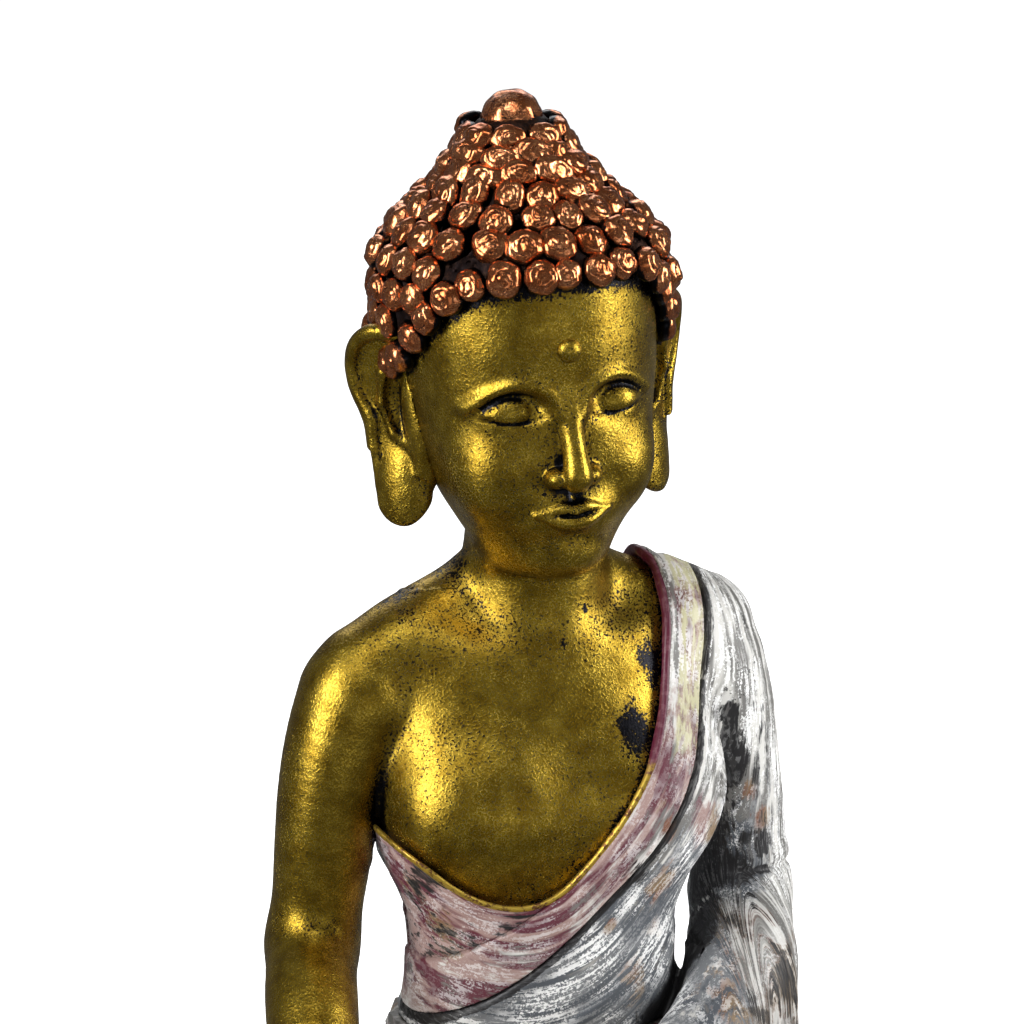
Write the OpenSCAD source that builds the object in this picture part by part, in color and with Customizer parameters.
// Seated Buddha statue, cast in sections that are pinned, glued and painted.
// Millimetres. +Z is up, the figure faces -Y, its own right side is -X.
// The origin is the centre of the footprint, on the surface that the statue stands on.

/* [Seat] */
// Width across the knees
knee_w = 204; // [198:1:210]
// Depth of the seat from the robe's fan to the back
seat_d = 144; // [142:1:146]
// Height of the joint between the legs and the torso
waist_z = 66; // [64:1:68]
// Thickness of the cork sheet under the statue
cork_t = 2; // [1:0.5:3]
// Thickness of the closing plate above the cork
plate_t = 4; // [3:0.5:5]

/* [Torso] */
// Distance of the spine behind the middle of the footprint
spine_y = 30; // [29:0.5:31]
// Height of the joint between the neck and the head
neck_z = 178; // [176:0.5:180]
// Distance of each elbow from the middle plane
elbow_x = 56.5; // [55.5:0.5:57.5]
// Thickness that the robe adds over the body
robe_t = 2.4; // [2:0.1:3]
// Wall thickness of the hollow castings
wall = 6; // [5:0.5:7]

/* [Head] */
// Lean of the head to its own right
head_lean = 3; // [0:0.1:4]
// Radius of one hair curl
curl_r = 4.2; // [3.9:0.1:4.4]
// Height of one hair curl
curl_h = 3.4; // [3:0.2:3.8]
// Radius of the knob on the crown
knob_r = 7; // [6:0.5:8]

/* [Pins] */
// Radius of the neck dowel
dowel_r = 4; // [3:0.5:5]
// Radius of the arm pins
arm_pin_r = 2.5; // [2:0.5:3]
// Radius of the wrist and ankle pins
small_pin_r = 1.5; // [1:0.25:2]
// Gap between a pin and its glued hole
glue_gap = 0.15; // [0.1:0.05:0.3]

/* [Hidden] */
$fn = 48;
ring_n = 28;    // corners of a body section
limb_fn = 18;   // facets of a limb's balls
far = 400;      // larger than the statue

knee = [knee_w / 2 - 22, -24, 24];
front_y = -seat_d / 2;
fan_t = 2.5;    // how far the robe's fan stands out from the shins
shoulder = [45, spine_y, 149.5];
elbow = [elbow_x, spine_y + 1, 93];
right_wrist = [-70, -14, 58];
left_wrist = [28, -9, 62];
right_reach = unit([-4, -16, -13]);
left_reach = unit([-12, -12, -7]);
arm_cut_x = 45;
pin_z = 148;       // height of the arm pins
pin_from = 35;     // inner end of the arm pins' holes
pin_to = 54;       // outer end of the arm pins' holes

// Body sections: height, centre Y, half width, half depth
torso_rows = [[waist_z, 26, 34, 25], [74, 25, 32, 24], [82, 25, 31.4, 24], [92, 25, 32, 24.5],
              [104, 25, 37, 26], [118, 25.5, 42, 27.5], [132, 26, 44, 27], [146, 27.5, 45, 24.5],
              [157, 29.5, 45, 21], [164, 31, 43.5, 18], [169, 31.5, 40.5, 15.5], [172.5, 31.5, 35, 14],
              [175.5, 31, 24, 14.5], [neck_z, 30.5, 16.5, 16]];
hip_rows = [[cork_t, 31, 60, 39], [12, 31, 62, 40.6], [24, 31, 60, 41], [36, 30.5, 54, 39],
            [46, 29.5, 47, 35], [56, 27.5, 40.5, 30], [waist_z, 26, 37, 27]];
lap_rows = [[cork_t, -8, 74, 54], [12, -8, 78, 54], [22, -8, 74, 52], [31, -6, 62, 46],
            [38, -3, 46, 36], [44, 2, 36, 26]];

// Head sections about the neck joint: height, centre Y, half width, half depth
face_half = 31.6; // half width of the head at the temples, where the egg of the face is widest
function egg_half(z) = face_half * sqrt(1 - pow((72 - z) / 70, 2.4));
head_rows = [[0, 0.5, 16.5, 16], [3, 0, 16, 16.5], [6, -6.5, 16, 20.5], [9, -7, 16.5, 21.5],
             [15, -7, egg_half(15), 22.5], [23, -5.5, egg_half(23), 26], [33, -4, egg_half(33), 29],
             [43, -2.5, egg_half(43), 31], [53, -1.5, egg_half(53), 33], [62, -0.5, egg_half(62), 34.6],
             [70, 0.5, face_half, 35.2], [78, 0.5, 31.2, 35], [85, 0.5, 28.6, 32.4],
             [90, 0.5, 24, 27.5], [95, 0.5, 17.5, 20.5], [100, 0.5, 12.5, 14], [106, 0.5, 8.5, 9.4]];
hair_rows = [[28, 1.5, 28.2, 31.6], [40, 1.2, 30.8, 34.2], [52, 0.8, 32.6, 36], [62, 0.5, 33.8, 37.2],
             [70, 0.5, 34.4, 37.6], [78, 0.5, 34, 37.4], [84, 0.5, 31.6, 35], [89, 0.5, 27.2, 30.2],
             [94, 0.5, 21.2, 23.6], [99, 0.5, 16, 17.6], [104, 0.5, 12.8, 13.8], [109, 0.5, 9.8, 10.6],
             [112.5, 0.5, 7.5, 8.2]];
crown_y = 0.5;    // the middle of the head's depth, seen from the neck joint
curl_pitch = 8.3; // distance between neighbouring curls
// The face in thirds: hairline to brow, brow to nose tip, nose tip to chin
chin_z = 6.1;
nose_z = 29.6;
mouth_z = 21.8;
brow_z = 53;
urna_z = 62;      // height of the dot between the brows
row_rise = 3.6;   // height of the lowest curls over the hairline
row_gap = 6.5;    // least height of the next curls over those

// The hairline: depth from the neck joint's plane, and height
hairline = [[-40, 77], [-31, 76.4], [-27, 74.6], [-22, 70.4], [-15, 63], [-8, 56], [-3, 53], [3, 51],
            [10, 46], [20, 37], [36, 28]];

function unit(v) = v / norm(v);
function point_on(a, b, t) = a + (b - a) * t;
function ring(row, n) =
    [for (i = [0:n - 1]) [row[2] * cos(360 * i / n), row[1] + row[3] * sin(360 * i / n), row[0]]];
function grown(rows, t) = [for (r = rows) [r[0], r[1], r[2] + t, r[3] + t]];
function between(rows, low, high) = [for (r = rows) if (r[0] >= low && r[0] <= high) r];
// The section at height z, between the two rows around it
function row_at(rows, z) =
    let (i = max([for (k = [0:len(rows) - 2]) if (rows[k][0] <= z) k]))
    point_on(rows[i], rows[i + 1], (z - rows[i][0]) / (rows[i + 1][0] - rows[i][0]));

// A closed form through horizontal oval sections
module stack(rows, n = ring_n) {
    for (i = [0:len(rows) - 2])
        hull() polyhedron(points = concat(ring(rows[i], n), ring(rows[i + 1], n)),
                          faces = [[for (k = [0:2 * n - 1]) k]]);
}

// A chain of balls: each entry is [x, y, z, radius]
module limb(balls, fn = limb_fn) {
    for (i = [0:len(balls) - 2]) hull() for (b = [balls[i], balls[i + 1]])
        translate([b[0], b[1], b[2]]) sphere(b[3], $fn = fn);
}

// A round rod from a to b
module rod(a, b, r) {
    d = b - a;
    translate(a) rotate([0, acos(d[2] / norm(d)), atan2(d[1], d[0])]) cylinder(norm(d), r, r);
}

// Everything beyond the plane through p that faces along d
module beyond(p, d) {
    translate(p) rotate([0, acos(d[2] / norm(d)), atan2(d[1], d[0])]) translate([-far / 2, -far / 2, 0])
        cube([far, far, far]);
}

// Places its children in the head's own frame, at the neck joint
module at_head() { translate([0, spine_y, neck_z]) rotate([0, -head_lean, 0]) children(); }

// The upright prism of an outline in the XZ plane, from y_low to y_high
module front_prism(outline, y_low, y_high) {
    translate([0, y_high, 0]) rotate([90, 0, 0]) linear_extrude(y_high - y_low) polygon(outline);
}

// ---- Base ----

// The chamber inside the crossed legs, which the closing plate shuts
module chamber_plan(t = 0) {
    offset(r = t) hull() {
        translate([-60, -14]) circle(24);
        translate([60, -14]) circle(24);
        translate([0, 22]) circle(28);
        translate([0, -32]) circle(20);
    }
}

module cork_base() {
    color("peru") linear_extrude(cork_t) chamber_plan(6);
}

module closing_plate() {
    color("dimgray") translate([0, 0, cork_t]) linear_extrude(plate_t) chamber_plan(3 - glue_gap);
}

// ---- Legs ----

// A chain of balls that widens into a flat foot on the ground
module resting(balls) {
    for (i = [0:len(balls) - 2]) hull() for (b = [balls[i], balls[i + 1]]) {
        translate([b[0], b[1], b[2]]) sphere(b[3], $fn = limb_fn);
        translate([b[0], b[1], cork_t]) cylinder(2, b[3] * 0.88, b[3] * 0.9, $fn = limb_fn);
    }
}

module leg_forms() {
    stack(hip_rows);
    stack(lap_rows);
    for (side = [-1, 1])
        resting([[side * 24, 30, 28, 24], [side * 56, 6, 26, 23], [side * knee[0], knee[1], knee[2], 22]]);
    shin_y = front_y + fan_t;
    resting([[-knee[0], knee[1], knee[2], 21.9], [-46, shin_y + 20.5, 26, 20], [8, shin_y + 15, 30, 15]]);
    resting([[knee[0], knee[1], knee[2], 21.9], [46, shin_y + 20.4, 22, 19.9], [-8, shin_y + 15, 17, 14.9]]);
}

module legs_solid() {
    intersection() {
        leg_forms();
        translate([-far / 2, -far / 2, cork_t]) cube([far, far, waist_z - cork_t]);
    }
}

module crossed_legs() {
    color("whitesmoke") difference() {
        legs_solid();
        translate([0, 0, cork_t - 1]) linear_extrude(plate_t + 1) chamber_plan(3);
        translate([0, 0, cork_t]) linear_extrude(22) chamber_plan();
        translate([0, spine_y - 3, cork_t]) cylinder(waist_z, 19, 19);
    }
}

// The pleated end of the robe, spread over the front of the crossed shins
module robe_fan() {
    pleats = 9;
    pleat_r = 3.4;
    color("gainsboro") difference() {
        for (i = [0:pleats - 1]) let (k = i - (pleats - 1) / 2)
            limb([[2 * k, front_y + pleat_r + 1.5, 30 - 0.5 * abs(k), 2.2],
                  [6.4 * k, front_y + pleat_r, cork_t + pleat_r + 0.4 * abs(k), pleat_r]], 12);
        leg_forms();
    }
}

// A foot as a chain of balls with five toes, before the leg forms are taken away
module foot_form(heel, ball, toe_step) {
    along = unit(ball - heel);
    hull() {
        translate(heel) sphere(7.5, $fn = 16);
        for (i = [-1, 1]) translate(ball + toe_step * 1.4 * i) sphere(5.5, $fn = 16);
    }
    for (i = [0:4]) let (p = ball + toe_step * (i - 2))
        limb([concat(p, 4 - 0.3 * i), concat(p + along * (13 - i), 3.4 - 0.3 * i)], 12);
}

module right_foot() {
    color("goldenrod") difference() {
        foot_form([12, -48, 41], [50, -36, 46], [-1.2, 3.7, 0.6]);
        leg_forms();
    }
}

module left_foot() {
    color("goldenrod") difference() {
        foot_form([-18, -4, 44], [-50, -4, 50], [0.2, 3.9, 0.2]);
        leg_forms();
    }
}

// ---- Torso ----

module torso_form() { stack(torso_rows); }

module torso() {
    color("darkgoldenrod") difference() {
        union() {
            torso_form();
            translate([0, spine_y - 3, waist_z - 8]) cylinder(9, 18.8, 18.8);
        }
        stack([for (r = between(torso_rows, 74, 157)) [r[0], r[1], r[2] - wall, r[3] - wall]]);
        translate([0, spine_y - 3, waist_z - 9]) cylinder(20, 14, 14);
        translate([0, spine_y, neck_z - 16]) cylinder(17, dowel_r + glue_gap, dowel_r + glue_gap);
        for (side = [-1, 1])
            rod([side * pin_from, spine_y, pin_z], [side * pin_to, spine_y, pin_z], arm_pin_r + glue_gap);
    }
}

// ---- Robe ----

// Front outline of the bare chest: down from the left shoulder, under the right breast, up to the armpit
edge = [[30, 172], [29.5, 163], [27, 150], [22, 139], [15, 129], [8, 119], [1, 109], [-5, 103.5],
        [-13, 101], [-22, 102.5], [-30, 107], [-37, 113], [-44, 118], [-50, 122]];
bare_front = concat([[30, 200]], edge, [[-60, 128], [-60, 200]]);
bare_back = [[28, 200], [29, 170], [12, 150], [-16, 128], [-36, 118], [-60, 112], [-60, 200]];
hem_w = 2.2;      // width of the hem
hem_rise = 1.8;   // how far it stands over the robe
// The sash's outer border, parallel to the edge at the shoulder and wider at the hip
sash_border = [[40.5, 200], [40.5, 172], [39.5, 158], [36, 144], [30, 131], [21, 117], [10, 104],
               [-3, 91], [-18, 79], [-34, 70], [-50, 62]];
// The sash's inner border where it leaves the hem, from the right hip up to the hem
wrap_line = [[-50, 72], [-36, 82], [-22, 92], [-12, 98.5], edge[7]];

module robe_shell(t) {
    difference() {
        stack(grown(between(torso_rows, waist_z, 168), t));
        torso_form();
        right_arm_form();
        left_arm_space();
        front_prism(bare_front, -60, spine_y);
        front_prism(bare_back, spine_y, 90);
    }
}

// What lies outside the left shoulder joint
module left_arm_space() { translate([arm_cut_x, -far / 2, 124]) cube([far, far, far]); }

module robe_wrap() {
    color("thistle") intersection() {
        robe_shell(robe_t);
        front_prism(concat(wrap_line, [for (i = [7:len(edge) - 1]) edge[i]]), -60, spine_y);
    }
}

module robe_sash() {
    color("lavender") intersection() {
        robe_shell(robe_t + 1.2);
        front_prism(concat(sash_border, wrap_line, [for (i = [6:-1:0]) edge[i]], [[30, 200]]), -60, spine_y);
    }
}

module robe_mantle() {
    color("lightsteelblue") difference() {
        robe_shell(robe_t);
        front_prism(concat(sash_border, [[-60, 62], [-60, 200]]), -60, spine_y);
    }
}

// The hem along the bare chest, which stands proud of the robe beside it
module robe_edge() {
    along = [for (i = [1:11]) edge[i]];
    beside = [for (i = [11:-1:1]) let (d = unit(edge[i + 1] - edge[i - 1])) edge[i] + hem_w * [d[1], -d[0]]];
    color("mediumvioletred") difference() {
        intersection() {
            stack(grown(between(torso_rows, waist_z, 168), robe_t + hem_rise));
            front_prism(concat(along, beside), -60, spine_y);
        }
        torso_form();
    }
}

// ---- Arms ----

module right_arm_form() {
    limb([[-shoulder[0], shoulder[1], shoulder[2], 14.5], [-50, spine_y, 137, 13.6], [-53, spine_y, 122, 12.7],
          [1 - elbow[0], elbow[1], elbow[2] + 10, 11.6], [-elbow[0], elbow[1], elbow[2] - 4, 11.2],
          [-61.5, 17, 80, 11.2], [-65.5, 2, 70, 10.4], [right_wrist[0], right_wrist[1], right_wrist[2], 7.4]]);
}

module right_arm() {
    color("darkgoldenrod") difference() {
        right_arm_form();
        torso_form();
        translate([-arm_cut_x, -far / 2, 0]) cube([far, far, far]);
        rod([-pin_from, spine_y, pin_z], [-pin_to, spine_y, pin_z], arm_pin_r + glue_gap);
        rod(right_wrist - 18 * right_reach, right_wrist + right_reach, small_pin_r + glue_gap);
        beyond(right_wrist, right_reach);
        leg_forms();
    }
}

module left_sleeve() {
    color("lightsteelblue") difference() {
        union() {
            limb([[shoulder[0], shoulder[1], shoulder[2], 15.4], [48.5, spine_y, 138, 14.2], [51.4, spine_y, 124, 13],
                  [elbow[0] - 1, elbow[1], elbow[2] + 8, 11.8], [elbow[0] - 1, elbow[1] - 2, elbow[2] - 5, 12.4],
                  [51, 18, 79, 12.8], [44, 5, 69, 12.4], [left_wrist[0] + 3, left_wrist[1] + 2, left_wrist[2] + 1, 10]]);
            hull() {
                translate([elbow[0] - 1, elbow[1] - 2, 88]) sphere(11, $fn = limb_fn);
                translate([46, 8, 71]) sphere(9.5, $fn = limb_fn);
                translate([53, 25, 44]) sphere(9, $fn = limb_fn);
                translate([50, 2, 44]) sphere(9, $fn = limb_fn);
            }
        }
        stack(grown(torso_rows, robe_t + 1.2));
        translate([arm_cut_x - far, -far / 2, 124]) cube([far, far, far]);
        rod([pin_from, spine_y, pin_z], [pin_to, spine_y, pin_z], arm_pin_r + glue_gap);
        rod(left_wrist - 18 * left_reach, left_wrist + left_reach, small_pin_r + glue_gap);
        beyond(left_wrist, left_reach);
        leg_forms();
    }
}

// ---- Hands ----

// Four fingers in a row: base and tip of the first, the step from one to the next, and a bend between
module fingers(base, bend, tip, step, r) {
    for (i = [0:3]) limb([concat(base + step * i, r), concat(bend + step * i, r * 0.93),
                          concat(tip + step * i * 0.95, r * 0.75)], 12);
}

module right_hand() {
    color("darkgoldenrod") difference() {
        union() {
            hull() {
                translate(right_wrist) sphere(7.2, $fn = limb_fn);
                translate([-79, -31, 51]) sphere(4.6, $fn = limb_fn);
                translate([-66, -38, 52]) sphere(5, $fn = limb_fn);
            }
            fingers([-82, -32, 50.5], [-84, -43, 43], [-83, -51.5, 24], [5.4, -3, 0.3], 3.5);
            limb([[-65, -28, 55, 4], [-58, -40, 51, 3.7], [-56.5, -50, 46, 3]], 12);
        }
        leg_forms();
        rod(right_wrist - right_reach, right_wrist + 5 * right_reach, small_pin_r + glue_gap);
        beyond(right_wrist, -right_reach);
    }
}

module left_hand() {
    color("darkgoldenrod") difference() {
        union() {
            hull() {
                translate(left_wrist) sphere(7, $fn = limb_fn);
                translate([2, -16, 57]) sphere(5, $fn = limb_fn);
                translate([4, -29, 57]) sphere(5, $fn = limb_fn);
            }
            fingers([0, -15, 56.5], [-11, -17, 57], [-22, -19, 59.5], [0.6, -5.2, 0], 3.3);
            limb([[16, -25, 61, 4], [6, -31, 64, 3.5], [-3, -32, 65.5, 2.8]], 12);
        }
        leg_forms();
        rod(left_wrist - left_reach, left_wrist + 5 * left_reach, small_pin_r + glue_gap);
        beyond(left_wrist, -left_reach);
    }
}

// ---- Pins ----

module neck_dowel() {
    color("silver") translate([0, spine_y, neck_z - 15.5]) cylinder(34, dowel_r, dowel_r);
}

module arm_pins() {
    color("silver") for (side = [-1, 1])
        rod([side * (pin_from + 0.5), spine_y, pin_z], [side * (pin_to - 0.5), spine_y, pin_z], arm_pin_r);
}

module wrist_pins() {
    color("silver") {
        rod(right_wrist - 17 * right_reach, right_wrist + 4.5 * right_reach, small_pin_r);
        rod(left_wrist - 17 * left_reach, left_wrist + 4.5 * left_reach, small_pin_r);
    }
}

module ankle_pin() {
    color("silver") rod([22, -45, 30], [22, -45, 43], small_pin_r);
}

// ---- Head ----

module head_form() { stack(head_rows); }

module head() {
    color("goldenrod") at_head() difference() {
        union() {
            head_form();
            limb([[0, -33, brow_z + 1, 2.4], [0, -35, nose_z + 11, 3], [0, -34.8, nose_z + 4, 4]], 14);
            limb([[-6, -29.5, mouth_z, 3], [6, -29.5, mouth_z, 3]], 12);
            translate([0, -20, chin_z + 6.4]) sphere(9, $fn = limb_fn);
        }
        stack([for (r = between(head_rows, 33, 90)) [r[0], r[1], r[2] - wall, r[3] - wall]]);
        translate([0, crown_y, 80]) cylinder(40, 7, 7);
        rotate([0, head_lean, 0]) translate([0, 0, -1]) cylinder(21, dowel_r + glue_gap, dowel_r + glue_gap);
        translate([0, -37, urna_z]) rotate([-90, 0, 0]) cylinder(6, 1 + glue_gap, 1 + glue_gap);
    }
}

// A long-lobed ear, turned half forward
module ear(side) {
    at_head() difference() {
        union() {
            limb([[side * 36, 5, 61, 4.5], [side * 37.5, 4, 52, 5.2], [side * 35, 2, 38, 4.8],
                  [side * 32.5, 1, 27, 5.2], [side * 31, 0, 20, 5.4]], 14);
            limb([[side * 33, 0, 58, 3.5], [side * 32, -1, 42, 3.8], [side * 29, -2, 24, 4.8]], 14);
        }
        head_form();
        stack(hair_rows);
    }
}

module right_ear() { color("goldenrod") ear(-1); }

module left_ear() { color("goldenrod") ear(1); }

// The raised dot between the brows, on a short stem
module urna() {
    color("gold") at_head() translate([0, -35.1, urna_z]) {
        intersection() {
            sphere(2.2, $fn = 32);
            translate([-3, -3, -3]) cube([6, 3.6, 6]);
        }
        rotate([-90, 0, 0]) cylinder(4, 1, 1);
    }
}

// ---- Hair ----

module above_hairline() {
    rotate([90, 0, 90]) linear_extrude(far, center = true)
        translate([0, 1.2]) polygon(concat(hairline, [[60, 20], [60, far], [-60, far], [-60, 77]]));
}

module hair_cap() {
    color("sienna") at_head() difference() {
        intersection() { stack(hair_rows); above_hairline(); }
        head_form();
        translate([0, crown_y, 101.5]) cylinder(20, 2.5 + glue_gap, 2.5 + glue_gap);
    }
}

// One curl: a blunt cone standing on the hair at height z and angle a
module curl(z, a, scale = 1) {
    row = row_at(hair_rows, z);
    next = row_at(hair_rows, z + 0.5);
    out = [cos(a) / row[2], sin(a) / row[3]];
    slope = (row[2] - next[2]) / 0.5;
    tilt = atan2(1, slope);
    translate(hair_point(z, a)) rotate([0, 0, atan2(out[1], out[0])]) rotate([0, tilt, 0])
        translate([0, 0, 0.25])
        cylinder(curl_h * scale, curl_r * scale, curl_r * scale * 0.45, $fn = 16);
}

function hair_point(z, a) =
    let (row = row_at(hair_rows, z)) [row[2] * cos(a), row[1] + row[3] * sin(a), z];
function over_hairline(p) = p[2] - lookup(p[1], hairline);
// Height of the lowest row of curls at the angle a
function lowest_z(a, z = 70, n = 8) =
    n == 0 ? z : lowest_z(a, lookup(hair_point(z, a)[1], hairline) + row_rise, n - 1);
// Angles of the lowest row's curls, a pitch apart along the hairline
function lowest_angles(a = -90, last = [0, 0, 0], found = []) =
    a >= 270 ? found :
    let (p = hair_point(lowest_z(a), a))
    norm(p - last) > curl_pitch - 0.7
        ? lowest_angles(a + 1, p, concat(found, [a]))
        : lowest_angles(a + 1, last, found);

// The lowest row's curls with heights from low to high
module hairline_curls(low, high) {
    for (a = lowest_angles()) let (z = lowest_z(a)) if (z >= low && z < high) curl(z, a, 0.95);
}

// A level ring of curls at height z, kept where it clears the lowest row
module curl_ring(z, row_index, scale = 1) {
    row = row_at(hair_rows, z);
    count = floor(PI * (row[2] + row[3]) / (curl_pitch * scale));
    for (i = [0:count - 1]) let (a = -90 + 360 * (i + (row_index % 2) / 2) / count)
        if (over_hairline(hair_point(z, a)) > row_rise + row_gap) curl(z, a, scale);
}

module side_curls() {
    color("chocolate") at_head() {
        hairline_curls(0, 72);
        for (k = [0:5]) curl_ring(32.4 + 6.9 * k, k, 0.93);
    }
}

module crown_curls() {
    color("chocolate") at_head() {
        hairline_curls(72, 92);
        curl_ring(73.8, 6, 0.93);
        curl_ring(80.7, 7, 0.93);
        curl_ring(87.6, 0);
    }
}

module topknot_curls() {
    color("chocolate") at_head() {
        curl_ring(92.8, 1, 0.96);
        curl_ring(97, 0, 0.92);
        curl_ring(101, 1, 0.88);
        curl_ring(104.9, 0, 0.84);
        curl_ring(108.6, 1, 0.8);
    }
}

module crown_knob() {
    color("peru") at_head() translate([0, crown_y, 0]) {
        translate([0, 0, 102]) cylinder(11, 2.5, 2.5);
        translate([0, 0, 112.6]) intersection() {
            scale([1, 1, 0.85]) sphere(knob_r);
            cylinder(knob_r, knob_r, knob_r);
        }
    }
}

cork_base();
closing_plate();
crossed_legs();
robe_fan();
right_foot();
left_foot();
torso();
robe_wrap();
robe_sash();
robe_mantle();
robe_edge();
right_arm();
right_hand();
left_sleeve();
left_hand();
neck_dowel();
arm_pins();
wrist_pins();
ankle_pin();
head();
right_ear();
left_ear();
urna();
hair_cap();
side_curls();
crown_curls();
topknot_curls();
crown_knob();
